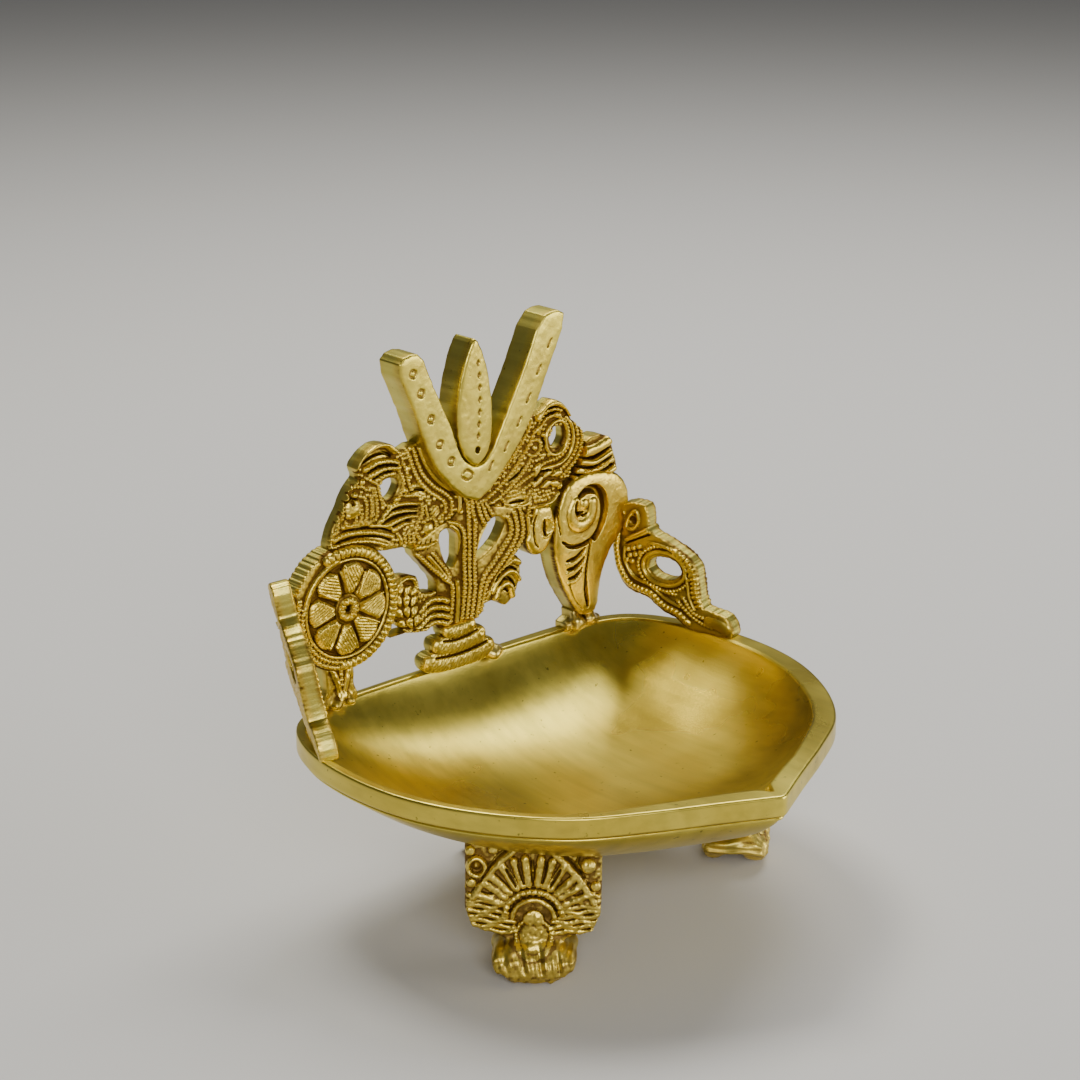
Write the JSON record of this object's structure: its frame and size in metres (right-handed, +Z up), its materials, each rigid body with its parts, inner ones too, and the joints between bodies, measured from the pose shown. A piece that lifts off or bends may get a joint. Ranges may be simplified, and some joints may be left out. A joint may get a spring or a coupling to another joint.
{
  "type": "diya oil lamp",
  "caption": "Cast-brass oil lamp: leaf-shaped bowl with a spout on shell legs, and an openwork back plate with wheel, shell and U-shaped crest.",
  "frame": {"origin": "on the standing surface, under the middle of the object's outline", "axes": "+Z up, -Y towards the spout, +X to the right seen from the spout"},
  "size_m": [0.101, 0.088, 0.1028],
  "materials": {
    "satin_brass": "satin polished, fine file marks",
    "cast_brass": "as cast, raised parts rubbed bright, brown in the recesses",
    "leg_brass": "as cast, rubbed bright",
    "braze_brass": "as brazed, lightly filed"
  },
  "bodies": {
    "root": {"bowl": "satin_brass", "leg_front_left": "leg_brass", "leg_front_right": "leg_brass", "leg_back": "leg_brass", "crest_u": "satin_brass", "crest_flame": "satin_brass", "wheel": "cast_brass", "wheel_hub": "cast_brass", "wheel_foot": "cast_brass", "pedestal_rivet": "braze_brass", "pedestal": "cast_brass", "stem": "cast_brass", "leaf_spray_left": "cast_brass", "leaf_curl_right": "cast_brass", "shoulder_scroll_left": "cast_brass", "shoulder_scroll_right": "cast_brass", "shell": "cast_brass", "shell_turban": "cast_brass", "eyelet": "cast_brass", "shell_foot": "braze_brass", "wing_right": "cast_brass", "wing_left": "cast_brass"}
  },
  "joints": []
}
